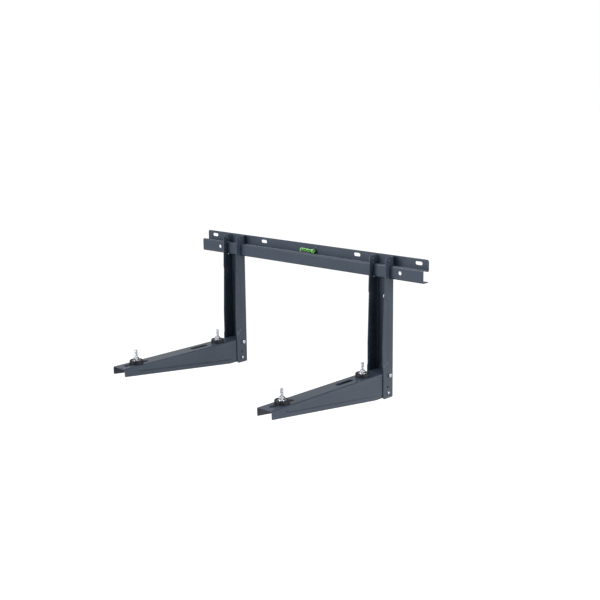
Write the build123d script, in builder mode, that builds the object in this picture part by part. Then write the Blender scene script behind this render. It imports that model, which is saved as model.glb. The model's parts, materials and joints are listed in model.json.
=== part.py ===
from build123d import *
from math import atan2, cos, degrees, radians, tan
import os

os.makedirs("parts", exist_ok=True)

# Wall bracket for the outdoor unit of an air conditioner, in millimetres.
# The wall is the plane y = 0 and the arms reach out along -Y. The rail lies
# along X, +Z is up, and the origin is the centre of the wall slots.
# A distance "out" is measured from the wall, so y = -out.

# Rail
rail_length = 800.0
rail_sheet = 2.5
rail_depth = 25.0
rail_face_height = 37.0
rail_bend = 4.5
slot_line_to_top = 11.5
slot_line_to_crest = 9.0
trough_drop = 8.0
trough_bend = 2.0
rail_lip_gap = 3.0
rail_corner = 6.0
outer_slot_from_end = 30.0
inner_slot_from_end = 230.0
slot_length = 22.0
slot_width = 9.0
face_hole_from_end = 72.0
face_hole = 10.0

# Uprights
upright_from_rail_end = 131.0
upright_width = 55.0
upright_sheet = 2.5
upright_bend = 4.0
upright_wall_gap = 7.5
upright_height = 369.0
upright_top_step = 1.0
upright_depth = 41.0
upright_top_depth = 32.5
taper_length = 225.0
upright_top_corner = 9.0
upright_foot_corner = 6.0
hook_clearance = 0.4
notch_corner = 2.0
anchor_hole = 13.0
anchor_hole_drop = 107.5
lock_hole = 5.0
lock_hole_out = 28.0
lock_hole_drop = 7.5
spare_hole = 5.5
spare_hole_out = 30.5
spare_hole_rise = 31.0

# Pressed strip along the front of each upright wall, between rail and arm
strip_press = 1.6
strip_ramp = 3.6
strip_back_out = 28.0
strip_below_rail = 58.0
strip_above_arm = 27.0
strip_top_angle = 58.0
strip_foot_angle = 33.0

# Arms
arm_reach = 453.5
arm_sheet = 2.5
arm_bend = 4.0
arm_side_clearance = 0.3
arm_back_clearance = 0.8
arm_rise = 69.0
arm_tip_height = 21.4
arm_root_height = 65.0
arm_level_stretch = 75.0
arm_level_blend = 40.0
arm_tip_corner = 2.5
arm_heel_corner = 8.0
front_slot_length = 80.0
front_slot_from_tip = 17.5
middle_slot_length = 63.0
middle_slot_from_upright = 90.0
rear_slot_length = 30.0
arm_slot_width = 14.0

# Raised panel on each side of an arm
panel_press = 2.0
panel_ramp = 4.0
panel_top_margin = 5.0
panel_foot_margin = 10.0
panel_tip_margin = 47.0
panel_back_margin = 16.5
panel_corner = 5.0

# Two bolts on each side of a joint between upright and arm
high_bolt = 6.0
high_bolt_length = 16.0
high_bolt_flats = 10.0
high_bolt_head = 4.0
high_nut_height = 5.0
high_bolt_out = 23.5
high_bolt_drop = 9.0
low_bolt = 4.0
low_bolt_length = 12.0
low_bolt_flats = 7.0
low_bolt_head = 2.8
low_nut_height = 3.2
low_bolt_out = 29.4
joint_bolt_spacing = 45.0
bolt_hole_play = 0.3
thread_play = 0.1
bolt_point = 0.8
hexagon_face = 0.95
hexagon_turn_angle = 30.0

# Rubber mounts that carry the unit
front_stud_from_tip = 58.5
rear_stud_from_upright = 51.0
pad_diameter = 37.0
pad_height = 10.0
pad_rim_round = 3.0
pad_seat_height = 7.2
pad_recess = 25.0
pad_recess_round = 2.0
pad_foot_round = 0.8
stud = 8.0
stud_length = 42.0
stud_head_flats = 13.0
stud_head_height = 5.3
stud_play = 0.3
pad_washer = 22.0
pad_washer_thickness = 1.6
slot_washer = 28.0
slot_washer_thickness = 2.0
stud_nut_height = 8.0
nut_flange = 17.8
nut_flange_thickness = 1.4
nut_skirt = 1.6

# Rubber feet between the uprights and the wall
foot_diameter = 25.0
foot_stem = 8.0
foot_stem_play = 0.2
foot_button = 13.0
foot_button_thickness = 2.0
foot_rise = 23.0
foot_round = 1.0

# Spirit level behind the crest of the rail
level_offset = 4.0
level_diameter = 12.0
level_tube_length = 36.0
level_wall = 1.2
level_cap_length = 5.0
level_cap_round = 0.8
level_plug_depth = 2.0
level_play = 0.1
level_rise = 1.6
bubble_length = 11.0
bubble_width = 5.0
bubble_sink = 1.6
cradle_length = 30.0
cradle_width = 14.0
cradle_drop = 1.5

# Heights and distances that follow from the sizes above
rail_top_z = slot_line_to_top
crest_z = -slot_line_to_crest
rail_foot_z = crest_z - rail_face_height
outer_slot_spacing = rail_length - 2 * outer_slot_from_end
inner_slot_spacing = rail_length - 2 * inner_slot_from_end
face_hole_spacing = rail_length - 2 * face_hole_from_end
upright_spacing = rail_length - 2 * upright_from_rail_end
level_out = rail_depth / 2
upright_inside = upright_wall_gap + upright_sheet
upright_front = upright_wall_gap + upright_depth
upright_top_z = rail_top_z - upright_top_step
upright_foot_z = upright_top_z - upright_height
arm_top_z = upright_foot_z + arm_rise
arm_back = upright_inside + arm_back_clearance
arm_half = upright_width / 2 - upright_sheet - arm_side_clearance
high_bolt_z = arm_top_z - high_bolt_drop
low_bolt_z = high_bolt_z - joint_bolt_spacing
foot_z = upright_foot_z + foot_rise
front_slot_out = arm_reach - front_slot_from_tip - front_slot_length / 2
middle_slot_out = upright_front + middle_slot_from_upright + middle_slot_length / 2
front_stud_out = arm_reach - front_stud_from_tip
rear_stud_out = upright_front + rear_stud_from_upright
arm_slope = (arm_root_height - arm_tip_height) / (arm_reach - arm_level_stretch)
web_slope = trough_drop / (rail_depth - rail_sheet)
middles = {"left": -upright_spacing / 2, "right": upright_spacing / 2}


def web_top_z(out):
    """Height of the rail's sloping top web at a distance out from the wall."""
    return crest_z - web_slope * (rail_depth - out)


def arm_slope_z(out):
    """Height of the sloping lower edge of an arm at a distance out from the wall."""
    return arm_top_z - arm_tip_height - arm_slope * (arm_reach - out)


def side_plane(x):
    """Plane at x with its first axis out from the wall and its second up. It faces -X."""
    return Plane(origin=(x, 0, 0), x_dir=(0, -1, 0), z_dir=(-1, 0, 0))


def joint_plane(x, y, z, sign):
    """Plane of a joint bolt or nut: it faces along X, and its hexagon stands flat side up."""
    return Plane(origin=(x, y, z), x_dir=(0, -1, 0), z_dir=(sign, 0, 0))


def ramp_angle(ramp, press):
    """Taper of a pressed panel's edge, from the run and the depth of its ramp."""
    return degrees(atan2(ramp, press))


def make_hexagon(seat, flats, height):
    """Hexagon that stands on a plane, with its far corners turned off by a cone."""
    top_radius = hexagon_face * flats / 2
    with BuildPart() as hexagon:
        with BuildSketch(seat):
            RegularPolygon(radius=flats / 2, side_count=6, major_radius=False)
        extrude(amount=height)
        with Locations(seat):
            Cone(
                bottom_radius=top_radius + height / tan(radians(hexagon_turn_angle)),
                top_radius=top_radius,
                height=height,
                align=(Align.CENTER, Align.CENTER, Align.MIN),
                mode=Mode.INTERSECT,
            )
    return hexagon.part


def make_bolt(seat, size, length, flats, head_height):
    """Hexagon bolt: the seat is the face under its head, and the shank runs along its normal."""
    head = make_hexagon(-seat, flats, head_height)
    with BuildPart() as bolt:
        add(head)
        with BuildSketch(seat):
            Circle(size / 2)
        extrude(amount=length)
        point = bolt.edges().filter_by(GeomType.CIRCLE)
        point = point.sort_by(lambda edge: seat.to_local_coords(edge.arc_center).Z)[-1]
        chamfer(point, length=bolt_point)
    return bolt


def make_nut(seat, size, flats, height):
    """Hexagon nut that sits on a plane."""
    hexagon = make_hexagon(seat, flats, height)
    with BuildPart() as nut:
        add(hexagon)
        with BuildSketch(seat):
            Circle(size / 2 + thread_play)
        extrude(amount=height, mode=Mode.SUBTRACT)
    return nut


def make_washer(seat, diameter, hole, thickness):
    """Flat washer that lies on a plane."""
    with BuildPart() as washer:
        with BuildSketch(seat):
            Circle(diameter / 2)
            Circle(hole / 2, mode=Mode.SUBTRACT)
        extrude(amount=thickness)
    return washer


# Wall rail: one folded strip that is open towards the wall below its flange
with BuildPart() as wall_rail:
    with BuildSketch(Plane.YZ):
        with BuildLine():
            skin = FilletPolyline(
                (-rail_sheet, rail_top_z),
                (-rail_sheet, crest_z - trough_drop),
                (-rail_depth, crest_z),
                (-rail_depth, rail_foot_z),
                (-rail_lip_gap, rail_foot_z),
                radius=[trough_bend, rail_bend, rail_bend],
            )
            offset(skin, amount=rail_sheet, side=Side.LEFT)
        make_face()
    extrude(amount=rail_length / 2, both=True)
    end_corners = wall_rail.edges().filter_by(Axis.Y).group_by(Axis.Z)[-1]
    fillet(end_corners, radius=rail_corner)
    with BuildSketch(Plane.XZ):
        with GridLocations(outer_slot_spacing, 0, 2, 1):
            SlotOverall(slot_length, slot_width)
        with GridLocations(inner_slot_spacing, 0, 2, 1):
            SlotOverall(slot_length, slot_width)
    extrude(amount=rail_sheet, mode=Mode.SUBTRACT)
    with BuildSketch(Plane.XZ.offset(rail_depth)):
        with Locations((0, crest_z - rail_face_height / 2)):
            with GridLocations(face_hole_spacing, 0, 2, 1):
                Circle(face_hole / 2)
    extrude(amount=-rail_sheet, mode=Mode.SUBTRACT)
wall_rail.part.label = "wall_rail"
export_step(wall_rail.part, "parts/wall_rail.step")


# Uprights: U-channels that are open to the front and hang on the rail
strip_top_z = rail_foot_z - strip_below_rail
strip_foot_z = arm_top_z + strip_above_arm
strip_past_front = upright_front + strip_ramp
strip_run = strip_past_front - strip_back_out
notch_front = rail_depth + hook_clearance
for side, middle_x in middles.items():
    middle = side_plane(middle_x)
    wall_x = middle_x + upright_width / 2
    with BuildPart() as upright:
        # Half of the channel: the web and its +X wall
        with BuildSketch(Plane.XY.offset(upright_foot_z)):
            with BuildLine():
                skin = FilletPolyline(
                    (middle_x, -upright_wall_gap),
                    (wall_x, -upright_wall_gap),
                    (wall_x, -upright_front),
                    radius=upright_bend,
                )
                offset(skin, amount=upright_sheet, side=Side.RIGHT)
            make_face()
        extrude(amount=upright_height)

        # The strip along the front is pressed inwards: cut outside, filled inside
        for face_x, change in ((wall_x, Mode.SUBTRACT), (wall_x - upright_sheet, Mode.ADD)):
            with BuildSketch(side_plane(face_x)):
                with BuildLine():
                    Polyline(
                        (strip_back_out, strip_top_z),
                        (strip_back_out, strip_foot_z),
                        (strip_past_front, strip_foot_z - strip_run * tan(radians(strip_foot_angle))),
                        (strip_past_front, strip_top_z + strip_run * tan(radians(strip_top_angle))),
                        close=True,
                    )
                make_face()
            extrude(amount=strip_press, taper=ramp_angle(strip_ramp, strip_press), mode=change)

        # Side outline: the wall is deeper at the foot than at the top
        with BuildSketch(middle):
            with BuildLine():
                FilletPolyline(
                    (upright_wall_gap, upright_foot_z),
                    (upright_front, upright_foot_z),
                    (upright_front, upright_top_z - taper_length),
                    (upright_wall_gap + upright_top_depth, upright_top_z),
                    (upright_wall_gap, upright_top_z),
                    radius=[0, upright_foot_corner, 0, upright_top_corner, 0],
                    close=True,
                )
            make_face()
        extrude(amount=upright_width, both=True, mode=Mode.INTERSECT)
        mirror(about=middle)

        # The notch lets the rail pass and leaves a hook behind its crest
        with BuildSketch(middle):
            with BuildLine():
                FilletPolyline(
                    (0, rail_foot_z - hook_clearance),
                    (notch_front, rail_foot_z - hook_clearance),
                    (notch_front, web_top_z(notch_front) + hook_clearance),
                    (0, web_top_z(0) + hook_clearance),
                    radius=[0, notch_corner, notch_corner, 0],
                    close=True,
                )
            make_face()
        extrude(amount=upright_width, both=True, mode=Mode.SUBTRACT)

        # Holes through both walls, then through the web
        with BuildSketch(middle):
            with Locations((lock_hole_out, upright_top_z - lock_hole_drop)):
                Circle(lock_hole / 2)
            with Locations((spare_hole_out, upright_foot_z + spare_hole_rise)):
                Circle(spare_hole / 2)
            with Locations((high_bolt_out, high_bolt_z)):
                Circle(high_bolt / 2 + bolt_hole_play)
            with Locations((low_bolt_out, low_bolt_z)):
                Circle(low_bolt / 2 + bolt_hole_play)
        extrude(amount=upright_width, both=True, mode=Mode.SUBTRACT)
        with BuildSketch(Plane.XZ.offset(upright_wall_gap)):
            with Locations((middle_x, upright_top_z - anchor_hole_drop)):
                Circle(anchor_hole / 2)
            with Locations((middle_x, foot_z)):
                Circle(foot_stem / 2 + foot_stem_play)
        extrude(amount=upright_sheet, mode=Mode.SUBTRACT)
    upright.part.label = f"upright_{side}"
    export_step(upright.part, f"parts/upright_{side}.step")


# Arms: tapering channels, open below, that stand between the walls of the uprights
arm_heel_z = arm_top_z - arm_root_height
panel_front = arm_reach - panel_tip_margin
panel_back = upright_front + panel_back_margin
panel_top_z = arm_top_z - panel_top_margin
for side, middle_x in middles.items():
    middle = side_plane(middle_x)
    wall_x = middle_x - arm_half
    with BuildPart() as arm:
        # Half of the channel: the top and its -X wall
        with BuildSketch(Plane.XZ.offset(arm_back)):
            with BuildLine():
                skin = FilletPolyline(
                    (middle_x, arm_top_z),
                    (wall_x, arm_top_z),
                    (wall_x, arm_heel_z),
                    radius=arm_bend,
                )
                offset(skin, amount=arm_sheet, side=Side.LEFT)
            make_face()
        extrude(amount=arm_reach - arm_back)

        # The tapering panel is pressed outwards: filled outside, cut inside
        for face_x, change in ((wall_x, Mode.ADD), (wall_x + arm_sheet, Mode.SUBTRACT)):
            with BuildSketch(side_plane(face_x)):
                with BuildLine():
                    FilletPolyline(
                        (panel_back, panel_top_z),
                        (panel_front, panel_top_z),
                        (panel_front, arm_slope_z(panel_front) + panel_foot_margin),
                        (panel_back, arm_slope_z(panel_back) + panel_foot_margin),
                        radius=panel_corner,
                        close=True,
                    )
                make_face()
            extrude(amount=panel_press, taper=ramp_angle(panel_ramp, panel_press), mode=change)

        # Side outline: level on top, with a lower edge that rises to the tip
        with BuildSketch(middle):
            with BuildLine():
                FilletPolyline(
                    (arm_back, arm_top_z),
                    (arm_reach, arm_top_z),
                    (arm_reach, arm_top_z - arm_tip_height),
                    (arm_level_stretch, arm_heel_z),
                    (arm_back, arm_heel_z),
                    radius=[0, 0, arm_tip_corner, arm_level_blend, arm_heel_corner],
                    close=True,
                )
            make_face()
        extrude(amount=upright_width, both=True, mode=Mode.INTERSECT)
        mirror(about=middle)

        # Slots in the top for the studs, and bolt holes through both walls
        with BuildSketch(Plane.XY.offset(arm_top_z)):
            with Locations((middle_x, -front_slot_out)):
                SlotOverall(front_slot_length, arm_slot_width, rotation=90)
            with Locations((middle_x, -middle_slot_out)):
                SlotOverall(middle_slot_length, arm_slot_width, rotation=90)
            with Locations((middle_x, -rear_stud_out)):
                SlotOverall(rear_slot_length, arm_slot_width, rotation=90)
        extrude(amount=-arm_sheet, mode=Mode.SUBTRACT)
        with BuildSketch(middle):
            with Locations((high_bolt_out, high_bolt_z)):
                Circle(high_bolt / 2 + bolt_hole_play)
            with Locations((low_bolt_out, low_bolt_z)):
                Circle(low_bolt / 2 + bolt_hole_play)
        extrude(amount=upright_width, both=True, mode=Mode.SUBTRACT)
    arm.part.label = f"arm_{side}"
    export_step(arm.part, f"parts/arm_{side}.step")

# Joint bolts go in from outside each upright wall, and their nuts sit inside the arm
for side, middle_x in middles.items():
    for wall, sign in (("minus_x", -1), ("plus_x", 1)):
        bolt_x = middle_x + sign * upright_width / 2
        nut_x = middle_x + sign * (arm_half - arm_sheet)

        high_seat = joint_plane(bolt_x, -high_bolt_out, high_bolt_z, -sign)
        bolt = make_bolt(high_seat, high_bolt, high_bolt_length, high_bolt_flats, high_bolt_head)
        bolt.part.label = f"high_bolt_{side}_{wall}"
        export_step(bolt.part, f"parts/high_bolt_{side}_{wall}.step")

        high_face = joint_plane(nut_x, -high_bolt_out, high_bolt_z, -sign)
        nut = make_nut(high_face, high_bolt, high_bolt_flats, high_nut_height)
        nut.part.label = f"high_nut_{side}_{wall}"
        export_step(nut.part, f"parts/high_nut_{side}_{wall}.step")

        low_seat = joint_plane(bolt_x, -low_bolt_out, low_bolt_z, -sign)
        bolt = make_bolt(low_seat, low_bolt, low_bolt_length, low_bolt_flats, low_bolt_head)
        bolt.part.label = f"low_bolt_{side}_{wall}"
        export_step(bolt.part, f"parts/low_bolt_{side}_{wall}.step")

        low_face = joint_plane(nut_x, -low_bolt_out, low_bolt_z, -sign)
        nut = make_nut(low_face, low_bolt, low_bolt_flats, low_nut_height)
        nut.part.label = f"low_nut_{side}_{wall}"
        export_step(nut.part, f"parts/low_nut_{side}_{wall}.step")


def make_pad(seat):
    """Rubber mount: a cup that stands on the arm, with a hole for the stud in its floor."""
    with BuildPart() as pad:
        with BuildSketch(seat):
            Circle(pad_diameter / 2)
        extrude(amount=pad_height)
        with BuildSketch(seat.offset(pad_seat_height)):
            Circle(pad_recess / 2)
        extrude(amount=pad_height - pad_seat_height, mode=Mode.SUBTRACT)
        rim = pad.edges().filter_by(GeomType.CIRCLE).group_by(Axis.Z)[-1].sort_by(SortBy.RADIUS)
        fillet(rim[-1], radius=pad_rim_round)
        fillet(rim[0], radius=pad_recess_round)
        fillet(pad.edges().group_by(Axis.Z)[0], radius=pad_foot_round)
        with BuildSketch(seat):
            Circle(stud / 2 + stud_play)
        extrude(amount=pad_seat_height, mode=Mode.SUBTRACT)
    return pad


def make_flange_nut(seat):
    """Nut with a round flange and a sloping skirt between the flange and its hexagon."""
    hexagon_seat = seat.offset(nut_flange_thickness)
    hexagon = make_hexagon(hexagon_seat, stud_head_flats, stud_nut_height - nut_flange_thickness)
    with BuildPart() as nut:
        add(hexagon)
        with BuildSketch(seat):
            Circle(nut_flange / 2)
        extrude(amount=nut_flange_thickness)
        with Locations(hexagon_seat):
            Cone(
                bottom_radius=nut_flange / 2,
                top_radius=stud_head_flats / 2,
                height=nut_skirt,
                align=(Align.CENTER, Align.CENTER, Align.MIN),
            )
        with BuildSketch(seat):
            Circle(stud / 2 + thread_play)
        extrude(amount=stud_nut_height, mode=Mode.SUBTRACT)
    return nut


# Mounts for the unit: a stud up through each arm slot, a rubber pad, a washer and a nut
for side, middle_x in middles.items():
    for place, stud_out in (("front", front_stud_out), ("rear", rear_stud_out)):
        end = f"{place}_{side}"
        under_arm = Plane(origin=(middle_x, -stud_out, arm_top_z - arm_sheet), z_dir=(0, 0, -1))
        on_arm = Plane(origin=(middle_x, -stud_out, arm_top_z))

        washer = make_washer(under_arm, slot_washer, stud + 2 * stud_play, slot_washer_thickness)
        washer.part.label = f"slot_washer_{end}"
        export_step(washer.part, f"parts/slot_washer_{end}.step")

        head_seat = -under_arm.offset(slot_washer_thickness)
        bolt = make_bolt(head_seat, stud, stud_length, stud_head_flats, stud_head_height)
        bolt.part.label = f"stud_{end}"
        export_step(bolt.part, f"parts/stud_{end}.step")

        pad = make_pad(on_arm)
        pad.part.label = f"rubber_pad_{end}"
        export_step(pad.part, f"parts/rubber_pad_{end}.step")

        pad_floor = on_arm.offset(pad_seat_height)
        washer = make_washer(pad_floor, pad_washer, stud + 2 * stud_play, pad_washer_thickness)
        washer.part.label = f"pad_washer_{end}"
        export_step(washer.part, f"parts/pad_washer_{end}.step")

        nut = make_flange_nut(pad_floor.offset(pad_washer_thickness))
        nut.part.label = f"flange_nut_{end}"
        export_step(nut.part, f"parts/flange_nut_{end}.step")

# Wall feet: rubber discs that fill the gap behind the uprights, held by a button
for side, middle_x in middles.items():
    wall_face = Plane(origin=(middle_x, 0, foot_z), z_dir=(0, -1, 0))
    with BuildPart() as foot:
        with BuildSketch(wall_face):
            Circle(foot_diameter / 2)
        extrude(amount=upright_wall_gap)
        fillet(foot.edges().group_by(Axis.Y)[-1], radius=foot_round)
        with BuildSketch(wall_face.offset(upright_wall_gap)):
            Circle(foot_stem / 2)
        extrude(amount=upright_sheet)
        with BuildSketch(wall_face.offset(upright_inside)):
            Circle(foot_button / 2)
        extrude(amount=foot_button_thickness)
        fillet(foot.edges().group_by(Axis.Y)[0], radius=foot_round)
    foot.part.label = f"wall_foot_{side}"
    export_step(foot.part, f"parts/wall_foot_{side}.step")

# Spirit level: a tube that lies along the trough of the rail in a cradle
level_z = web_top_z(level_out) + level_rise + level_diameter / 2
level_centre = (-level_out, level_z)
level_bore = level_diameter - 2 * level_wall
level_middle = Plane.YZ.offset(level_offset)
with BuildPart() as level_tube:
    with BuildSketch(level_middle):
        with Locations(level_centre):
            Circle(level_diameter / 2)
            Circle(level_bore / 2, mode=Mode.SUBTRACT)
    extrude(amount=level_tube_length / 2, both=True)
level_tube.part.label = "level_tube"
export_step(level_tube.part, "parts/level_tube.step")

# The liquid fills the tube between the plugs, except for the bubble at its top
liquid_radius = level_bore / 2 - level_play
bubble_z = level_z + liquid_radius - bubble_sink
bubble_end = (bubble_length - bubble_width) / 2
with BuildPart() as level_liquid:
    with BuildSketch(level_middle):
        with Locations(level_centre):
            Circle(liquid_radius)
    extrude(amount=level_tube_length / 2 - level_plug_depth - level_play, both=True)
    with Locations((level_offset, -level_out, bubble_z)):
        Cylinder(bubble_width / 2, 2 * bubble_end, rotation=(0, 90, 0), mode=Mode.SUBTRACT)
        with Locations((-bubble_end, 0, 0), (bubble_end, 0, 0)):
            Sphere(bubble_width / 2, mode=Mode.SUBTRACT)
level_liquid.part.label = "level_liquid"
export_step(level_liquid.part, "parts/level_liquid.step")

# A cap with a plug closes each end of the tube
for side, sign in (("left", -1), ("right", 1)):
    tube_end = Plane(
        origin=(level_offset + sign * level_tube_length / 2, -level_out, level_z),
        z_dir=(sign, 0, 0),
    )
    with BuildPart() as cap:
        with BuildSketch(tube_end):
            Circle(level_diameter / 2)
        extrude(amount=level_cap_length)
        rim = cap.edges().sort_by(Axis.X)[-1 if sign > 0 else 0]
        fillet(rim, radius=level_cap_round)
        with BuildSketch(tube_end):
            Circle(level_bore / 2 - level_play)
        extrude(amount=-level_plug_depth)
    cap.part.label = f"level_cap_{side}"
    export_step(cap.part, f"parts/level_cap_{side}.step")

# The cradle stands on the sloping web of the rail and holds the tube from below
cradle_front = level_out + cradle_width / 2
cradle_back = level_out - cradle_width / 2
cradle_top = level_z - cradle_drop
with BuildPart() as level_cradle:
    with BuildSketch(level_middle):
        with BuildLine():
            Polyline(
                (-cradle_front, web_top_z(cradle_front)),
                (-cradle_back, web_top_z(cradle_back)),
                (-cradle_back, cradle_top),
                (-cradle_front, cradle_top),
                close=True,
            )
        make_face()
        with Locations(level_centre):
            Circle(level_diameter / 2 + level_play, mode=Mode.SUBTRACT)
    extrude(amount=cradle_length / 2, both=True)
level_cradle.part.label = "level_cradle"
export_step(level_cradle.part, "parts/level_cradle.step")
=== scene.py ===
import json
import math

import bmesh
import bpy
from mathutils import Matrix, Vector


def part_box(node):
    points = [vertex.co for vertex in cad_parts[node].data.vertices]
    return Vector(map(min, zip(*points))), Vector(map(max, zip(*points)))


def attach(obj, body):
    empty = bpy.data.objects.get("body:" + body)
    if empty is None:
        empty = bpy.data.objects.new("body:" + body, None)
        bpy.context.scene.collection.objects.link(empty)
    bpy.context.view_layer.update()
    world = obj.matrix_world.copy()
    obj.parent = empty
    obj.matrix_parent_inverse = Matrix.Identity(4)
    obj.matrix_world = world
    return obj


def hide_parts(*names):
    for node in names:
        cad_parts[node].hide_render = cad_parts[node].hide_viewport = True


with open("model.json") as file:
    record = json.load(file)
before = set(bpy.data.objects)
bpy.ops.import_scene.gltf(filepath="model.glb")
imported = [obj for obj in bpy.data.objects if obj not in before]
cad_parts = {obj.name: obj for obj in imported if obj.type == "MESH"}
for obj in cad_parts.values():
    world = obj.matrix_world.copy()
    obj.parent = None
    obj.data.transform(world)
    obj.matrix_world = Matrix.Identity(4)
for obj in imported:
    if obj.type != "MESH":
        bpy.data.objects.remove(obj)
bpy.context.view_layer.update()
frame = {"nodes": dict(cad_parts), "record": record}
nodes = frame["nodes"]

# Lengths are in metres, in the frame of the solids: the wall is y = 0, the arms
# reach out along -Y and +Z is up.
MM = 0.001


# Camera: a perspective view from the right, above and in front of the rail
CAMERA_PLACE = Vector((1.9685, -2.1536, 0.4908))
CAMERA_YAW = 0.7498
CAMERA_PITCH = 0.2146
CAMERA_ROLL = -0.0122
CAMERA_LENS = 65.395


def make_camera():
    """The photograph's camera, turned left by its yaw, down by its pitch, then rolled."""
    up = Vector((0, 0, 1))
    level = Vector((-math.sin(CAMERA_YAW), math.cos(CAMERA_YAW), 0))
    right = Vector((math.cos(CAMERA_YAW), math.sin(CAMERA_YAW), 0))
    forward = level * math.cos(CAMERA_PITCH) - up * math.sin(CAMERA_PITCH)
    top = up * math.cos(CAMERA_PITCH) + level * math.sin(CAMERA_PITCH)
    rolled_right = right * math.cos(CAMERA_ROLL) + top * math.sin(CAMERA_ROLL)
    rolled_top = top * math.cos(CAMERA_ROLL) - right * math.sin(CAMERA_ROLL)
    turn = Matrix((rolled_right, rolled_top, -forward)).transposed()
    data = bpy.data.cameras.new("camera")
    data.lens = CAMERA_LENS
    data.clip_start = 0.05
    data.clip_end = 60
    camera = bpy.data.objects.new("camera", data)
    camera.matrix_world = Matrix.Translation(CAMERA_PLACE) @ turn.to_4x4()
    bpy.context.scene.collection.objects.link(camera)
    bpy.context.scene.camera = camera


# Nodes that the materials, the world and the floor share
def add_node(tree, kind, **values):
    """Adds a node and sets its properties."""
    node = tree.nodes.new(kind)
    for key, value in values.items():
        setattr(node, key, value)
    return node


def fade(tree, value, start, end, low, high):
    """A number from low to high as a value goes from start to end."""
    node = add_node(tree, "ShaderNodeMapRange")
    node.inputs["From Min"].default_value = start
    node.inputs["From Max"].default_value = end
    node.inputs["To Min"].default_value = low
    node.inputs["To Max"].default_value = high
    tree.links.new(value, node.inputs["Value"])
    return node.outputs["Result"]


def combine(tree, operation, one, other):
    """One number made of two, such as their product or the larger one."""
    node = add_node(tree, "ShaderNodeMath", operation=operation)
    tree.links.new(one, node.inputs[0])
    tree.links.new(other, node.inputs[1])
    return node.outputs["Value"]


def largest(tree, *outputs):
    """The largest of several numbers."""
    out = outputs[0]
    for other in outputs[1:]:
        out = combine(tree, "MAXIMUM", out, other)
    return out


# Materials
# Noise lies mostly between these two values, so colours and numbers go over them.
NOISE_SPAN = (0.35, 0.65)
SOCKETS = {
    "colour": "Base Color", "rough": "Roughness", "metal": "Metallic", "normal": "Normal",
    "through": "Transmission Weight", "ior": "IOR", "specular": "Specular IOR Level",
}


class Shader:
    """A material whose nodes are added and joined in a few words."""

    def __init__(self, name):
        self.material = bpy.data.materials.new(name)
        self.material.use_nodes = True
        self.tree = self.material.node_tree
        self.surface = self.tree.nodes["Principled BSDF"]
        self.place = add_node(self.tree, "ShaderNodeTexCoord").outputs["Object"]

    def noise(self, size, detail):
        """Noise whose features are about size metres wide, as a factor from 0 to 1."""
        node = add_node(self.tree, "ShaderNodeTexNoise")
        node.inputs["Scale"].default_value = 1 / size
        node.inputs["Detail"].default_value = detail
        self.tree.links.new(self.place, node.inputs["Vector"])
        return node.outputs["Fac"]

    def spread(self, factor, low, high):
        """A number from low to high as noise goes over its span."""
        return fade(self.tree, factor, *NOISE_SPAN, low, high)

    def blend(self, factor, low, high):
        """A colour from low to high as noise goes over its span."""
        node = add_node(self.tree, "ShaderNodeValToRGB")
        for stop, position, colour in zip(node.color_ramp.elements, NOISE_SPAN, (low, high)):
            stop.position = position
            stop.color = (*colour, 1)
        self.tree.links.new(factor, node.inputs["Fac"])
        return node.outputs["Color"]

    def bump(self, factor, height, under=None):
        """Relief of a height in metres, on top of another relief if there is one."""
        node = add_node(self.tree, "ShaderNodeBump")
        node.inputs["Distance"].default_value = height
        node.inputs["Strength"].default_value = 1.0
        self.tree.links.new(factor, node.inputs["Height"])
        if under:
            self.tree.links.new(under, node.inputs["Normal"])
        return node.outputs["Normal"]

    def set(self, **values):
        """Sets the shader's sockets: a number directly, an output by a link."""
        for key, value in values.items():
            socket = self.surface.inputs[SOCKETS[key]]
            if isinstance(value, bpy.types.NodeSocket):
                self.tree.links.new(value, socket)
            else:
                socket.default_value = value
        return self.material


def powder_coat():
    """Blue-grey powder coat, half gloss, with the fine orange peel of a baked finish."""
    s = Shader("powder_coat")
    cloud = s.noise(60 * MM, 3)
    grain = s.noise(0.9 * MM, 2)
    peel = s.noise(2.6 * MM, 1)
    relief = s.bump(peel, 0.03 * MM)
    relief = s.bump(grain, 0.008 * MM, under=relief)
    return s.set(
        colour=s.blend(cloud, (0.0345, 0.049, 0.0715), (0.0395, 0.055, 0.080)),
        rough=s.spread(grain, 0.30, 0.38),
        normal=relief,
        specular=0.4,
    )


def zinc():
    """Bright zinc plate: cool and slightly cloudy, with fine scratches."""
    s = Shader("zinc")
    cloud = s.noise(3 * MM, 3)
    scratch = s.noise(0.7 * MM, 2)
    return s.set(
        colour=s.blend(cloud, (0.46, 0.48, 0.52), (0.60, 0.62, 0.66)),
        rough=s.spread(cloud, 0.14, 0.24),
        metal=1.0,
        normal=s.bump(scratch, 0.006 * MM),
    )


def rubber():
    """Black moulded rubber with a faint bloom."""
    s = Shader("black_rubber")
    bloom = s.noise(9 * MM, 3)
    grain = s.noise(0.5 * MM, 2)
    return s.set(
        colour=s.blend(bloom, (0.006, 0.007, 0.010), (0.011, 0.013, 0.017)),
        rough=s.spread(bloom, 0.36, 0.48),
        normal=s.bump(grain, 0.012 * MM),
        specular=0.25,
    )


def acrylic():
    """Clear acrylic with a green cast."""
    s = Shader("level_acrylic")
    haze = s.noise(4 * MM, 2)
    return s.set(
        colour=s.blend(haze, (0.55, 0.92, 0.50), (0.65, 0.97, 0.60)),
        rough=s.spread(haze, 0.08, 0.16),
        through=1.0,
        ior=1.49,
    )


def green_liquid():
    """Bright green liquid, partly clear."""
    s = Shader("level_liquid_green")
    drift = s.noise(8 * MM, 2)
    return s.set(
        colour=s.blend(drift, (0.12, 0.5, 0.05), (0.2, 0.62, 0.08)),
        rough=s.spread(drift, 0.04, 0.08),
        through=0.55,
        ior=1.36,
    )


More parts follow.
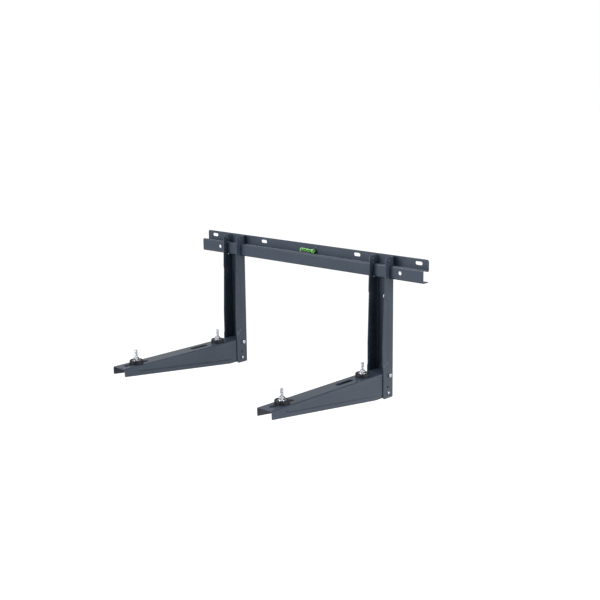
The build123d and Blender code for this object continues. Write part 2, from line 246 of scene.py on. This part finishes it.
def milky_cap():
    """Milky green plastic of the level's end caps."""
    s = Shader("level_cap_plastic")
    haze = s.noise(3 * MM, 2)
    return s.set(
        colour=s.blend(haze, (0.16, 0.44, 0.13), (0.24, 0.56, 0.19)),
        rough=s.spread(haze, 0.25, 0.38),
        through=0.25,
        ior=1.45,
    )


def dark_plastic():
    """Dark moulded plastic of the level's cradle."""
    s = Shader("cradle_plastic")
    grain = s.noise(0.6 * MM, 2)
    return s.set(
        colour=s.blend(grain, (0.02, 0.022, 0.024), (0.028, 0.03, 0.033)),
        rough=s.spread(grain, 0.45, 0.6),
        normal=s.bump(grain, 0.015 * MM),
    )


finishes = {
    "coated_steel": powder_coat(),
    "zinc_steel": zinc(),
    "black_rubber": rubber(),
    "level_tube": acrylic(),
    "level_liquid": green_liquid(),
    "level_cap": milky_cap(),
    "dark_plastic": dark_plastic(),
}
for row in frame["record"]["subparts"]:
    for place in nodes[row["node"]].material_slots:
        place.material = finishes[row["material_slot"]]


# Pieces that take the place of solids
MERGE = 0.001 * MM


def open_solid(node):
    """An editable copy of a solid's mesh, with the points that its faces share merged."""
    form = bmesh.new()
    form.from_mesh(nodes[node].data)
    bmesh.ops.remove_doubles(form, verts=form.verts, dist=MERGE)
    return form


def add_piece(name, form, slot, node):
    """Adds a smooth piece that stands for a solid, in the finish of a slot of the record."""
    mesh = bpy.data.meshes.new(name)
    form.to_mesh(mesh)
    form.free()
    mesh.shade_smooth()
    mesh.materials.clear()
    mesh.materials.append(finishes[slot])
    piece = bpy.data.objects.new(name, mesh)
    bpy.context.scene.collection.objects.link(piece)
    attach(piece, "root")
    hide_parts(node)
    return piece


# Threads on the studs, which the solids leave plain
HEAD_HEIGHT = 5.3 * MM
STUD_RADIUS = 4.0 * MM
PITCH = 1.25 * MM
THREAD_DEPTH = 0.68 * MM
THREAD_SIDES = 36
RINGS_PER_TURN = 6
POINT = 0.8 * MM  # height and depth of the chamfer at the stud's tip
ROOT_RISE = 1.25  # where the flanks start, in thread depths, so that the root is flat
FLANK = 2.8  # slope of the flanks, in thread depths per pitch
SEAT_GAP = 0.1 * MM  # how far the threaded shank starts inside the head
SHARP_ANGLE = math.radians(35)


def add_thread(form, centre, radius, low, high):
    """Adds a helical thread round a vertical axis to a mesh."""
    count = round((high - low) / PITCH * RINGS_PER_TURN)
    rings = []
    for step in range(count + 1):
        height = low + (high - low) * step / count
        ring = []
        for side in range(THREAD_SIDES):
            turn = side / THREAD_SIDES
            along = ((height - low) / PITCH - turn) % 1
            depth = THREAD_DEPTH * min(1.0, max(0.0, ROOT_RISE - abs(along - 0.5) * FLANK))
            reach = min(radius - depth, radius - POINT + high - height)
            angle = turn * 2 * math.pi
            ring.append(form.verts.new((
                centre[0] + reach * math.cos(angle), centre[1] + reach * math.sin(angle), height
            )))
        rings.append(ring)
    for lower, upper in zip(rings, rings[1:]):
        for side in range(THREAD_SIDES):
            after = (side + 1) % THREAD_SIDES
            form.faces.new((lower[side], lower[after], upper[after], upper[side]))
    form.faces.new(rings[0][::-1])
    form.faces.new(rings[-1])


def thread_stud(node):
    """The stud's own head with a threaded shank in place of the plain one."""
    low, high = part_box(node)
    form = open_solid(node)
    seat = low[2] + HEAD_HEIGHT
    shank = [vertex for vertex in form.verts if vertex.co.z > seat + SEAT_GAP]
    bmesh.ops.delete(form, geom=shank, context="VERTS")
    bmesh.ops.holes_fill(form, edges=[edge for edge in form.edges if edge.is_boundary])
    centre = ((low[0] + high[0]) / 2, (low[1] + high[1]) / 2)
    add_thread(form, centre, STUD_RADIUS, seat - SEAT_GAP, high[2])
    bmesh.ops.recalc_face_normals(form, faces=form.faces)
    piece = add_piece(f"{node}_threaded", form, "zinc_steel", node)
    piece.data.set_sharp_from_angle(angle=SHARP_ANGLE)


for end in ("front_left", "front_right", "rear_left", "rear_right"):
    thread_stud(f"stud_{end}")


# Folded sheet: the coat rounds every cut edge a little, and pressed creases more
CUT_ROUND = 0.45 * MM
CREASE_ROUND = 0.9 * MM
FLAT_ANGLE = math.radians(0.5)
CREASE_ANGLE = math.radians(18)
CUT_ANGLE = math.radians(50)


def round_edges(form, low, high, size):
    """Rounds the edges of a mesh whose faces meet at an angle between two angles."""
    edges = [
        edge for edge in form.edges
        if len(edge.link_faces) == 2 and low < edge.calc_face_angle() < high
    ]
    bmesh.ops.bevel(
        form, geom=edges, offset=size, offset_type="OFFSET", segments=2, profile=0.5,
        affect="EDGES", clamp_overlap=False,
    )


def soften_sheet(node):
    """A copy of a sheet part with rounded cut edges and creases, and faces that stay flat."""
    form = open_solid(node)
    bmesh.ops.dissolve_limit(
        form, angle_limit=FLAT_ANGLE, use_dissolve_boundaries=False,
        verts=form.verts, edges=form.edges,
    )
    round_edges(form, CREASE_ANGLE, CUT_ANGLE, CREASE_ROUND)
    round_edges(form, CUT_ANGLE, math.pi, CUT_ROUND)
    bmesh.ops.triangulate(form, faces=[face for face in form.faces if len(face.verts) > 4])
    piece = add_piece(f"{node}_coated", form, "coated_steel", node)
    flat = piece.modifiers.new("flat faces", "WEIGHTED_NORMAL")
    flat.mode = "FACE_AREA"
    flat.weight = 100


for node in ("wall_rail", "upright_left", "upright_right", "arm_left", "arm_right"):
    soften_sheet(node)


# Light: softboxes in a white studio. Each has a place, a size and a power in watts.
LAMPS = {
    "key": ((-1.4, -3.7, 1.2), 2.2, 156),
    "right": ((4.8, 0.2, 1.1), 2.7, 180),
    "back right": ((1.9, 2.1, 0.2), 1.6, 7),
    "high left": ((-1.9, 0.4, 2.1), 1.6, 18),
    "top": ((0.0, -0.3, 2.8), 1.6, 16),
}
LAMP_TARGET = Vector((0, -0.2, -0.2))
FLOOR_HALF = 30.0
FLOOR_HEIGHT = -1.25
FLOOR_GREY = 0.35
FLOOR_GLOW = 0.9


def make_world():
    """White to the camera. Reflections see it dim overhead, and its soft fill is low."""
    world = bpy.data.worlds.new("studio")
    bpy.context.scene.world = world
    world.use_nodes = True
    tree = world.node_tree
    ray = add_node(tree, "ShaderNodeLightPath")
    split = add_node(tree, "ShaderNodeSeparateXYZ")
    direction = add_node(tree, "ShaderNodeTexCoord").outputs["Generated"]
    tree.links.new(direction, split.inputs["Vector"])
    mirrored = fade(tree, split.outputs["Z"], 0.15, 0.4, 1.0, 0.15)
    fill = fade(tree, split.outputs["Z"], 0.1, 0.4, 0.15, 0.45)
    level = largest(
        tree,
        ray.outputs["Is Camera Ray"],
        ray.outputs["Is Transmission Ray"],
        combine(tree, "MULTIPLY", mirrored, ray.outputs["Is Glossy Ray"]),
        combine(tree, "MULTIPLY", fill, ray.outputs["Is Diffuse Ray"]),
    )
    background = tree.nodes["Background"]
    background.inputs["Color"].default_value = (1, 1, 1, 1)
    tree.links.new(level, background.inputs["Strength"])


def make_lamp(name, place, size, power):
    """A square softbox that faces the middle of the object."""
    data = bpy.data.lights.new(name, "AREA")
    data.shape = "SQUARE"
    data.size = size
    data.energy = power
    lamp = bpy.data.objects.new(name, data)
    lamp.location = place
    lamp.rotation_mode = "QUATERNION"
    lamp.rotation_quaternion = (LAMP_TARGET - Vector(place)).to_track_quat("-Z", "Y")
    bpy.context.scene.collection.objects.link(lamp)


def make_floor():
    """A wide floor below the bracket, white to the camera, that keeps a faint shadow.

    Reflections see it white in a ring about 2.5 m out, dark inside it and dimmer beyond.
    """
    mesh = bpy.data.meshes.new("floor")
    corners = ((-1, -1), (1, -1), (1, 1), (-1, 1))
    mesh.from_pydata(
        [(x * FLOOR_HALF, y * FLOOR_HALF, FLOOR_HEIGHT) for x, y in corners], [], [(0, 1, 2, 3)]
    )
    floor = bpy.data.objects.new("floor", mesh)
    bpy.context.scene.collection.objects.link(floor)
    material = bpy.data.materials.new("floor_white")
    material.use_nodes = True
    tree = material.node_tree
    surface = tree.nodes["Principled BSDF"]
    surface.inputs["Base Color"].default_value = (FLOOR_GREY, FLOOR_GREY, FLOOR_GREY, 1)
    surface.inputs["Roughness"].default_value = 1.0
    surface.inputs["Specular IOR Level"].default_value = 0.0
    surface.inputs["Emission Color"].default_value = (1, 1, 1, 1)
    ray = add_node(tree, "ShaderNodeLightPath")
    distance = add_node(tree, "ShaderNodeVectorMath", operation="LENGTH")
    place = add_node(tree, "ShaderNodeTexCoord").outputs["Object"]
    tree.links.new(place, distance.inputs[0])
    near = fade(tree, distance.outputs["Value"], 1.5, 2.4, 0.0, 1.0)
    far = fade(tree, distance.outputs["Value"], 2.6, 5.0, 1.0, 0.3)
    mirrored = combine(tree, "MULTIPLY", near, far)
    glow = largest(
        tree,
        fade(tree, ray.outputs["Is Camera Ray"], 0, 1, 0, FLOOR_GLOW),
        fade(tree, ray.outputs["Is Transmission Ray"], 0, 1, 0, FLOOR_GLOW),
        combine(tree, "MULTIPLY", mirrored, ray.outputs["Is Glossy Ray"]),
    )
    tree.links.new(glow, surface.inputs["Emission Strength"])
    mesh.materials.append(material)


make_camera()
make_world()
for name, (place, size, power) in LAMPS.items():
    make_lamp(name, place, size, power)
make_floor()

bpy.context.scene.view_settings.view_transform = "Standard"
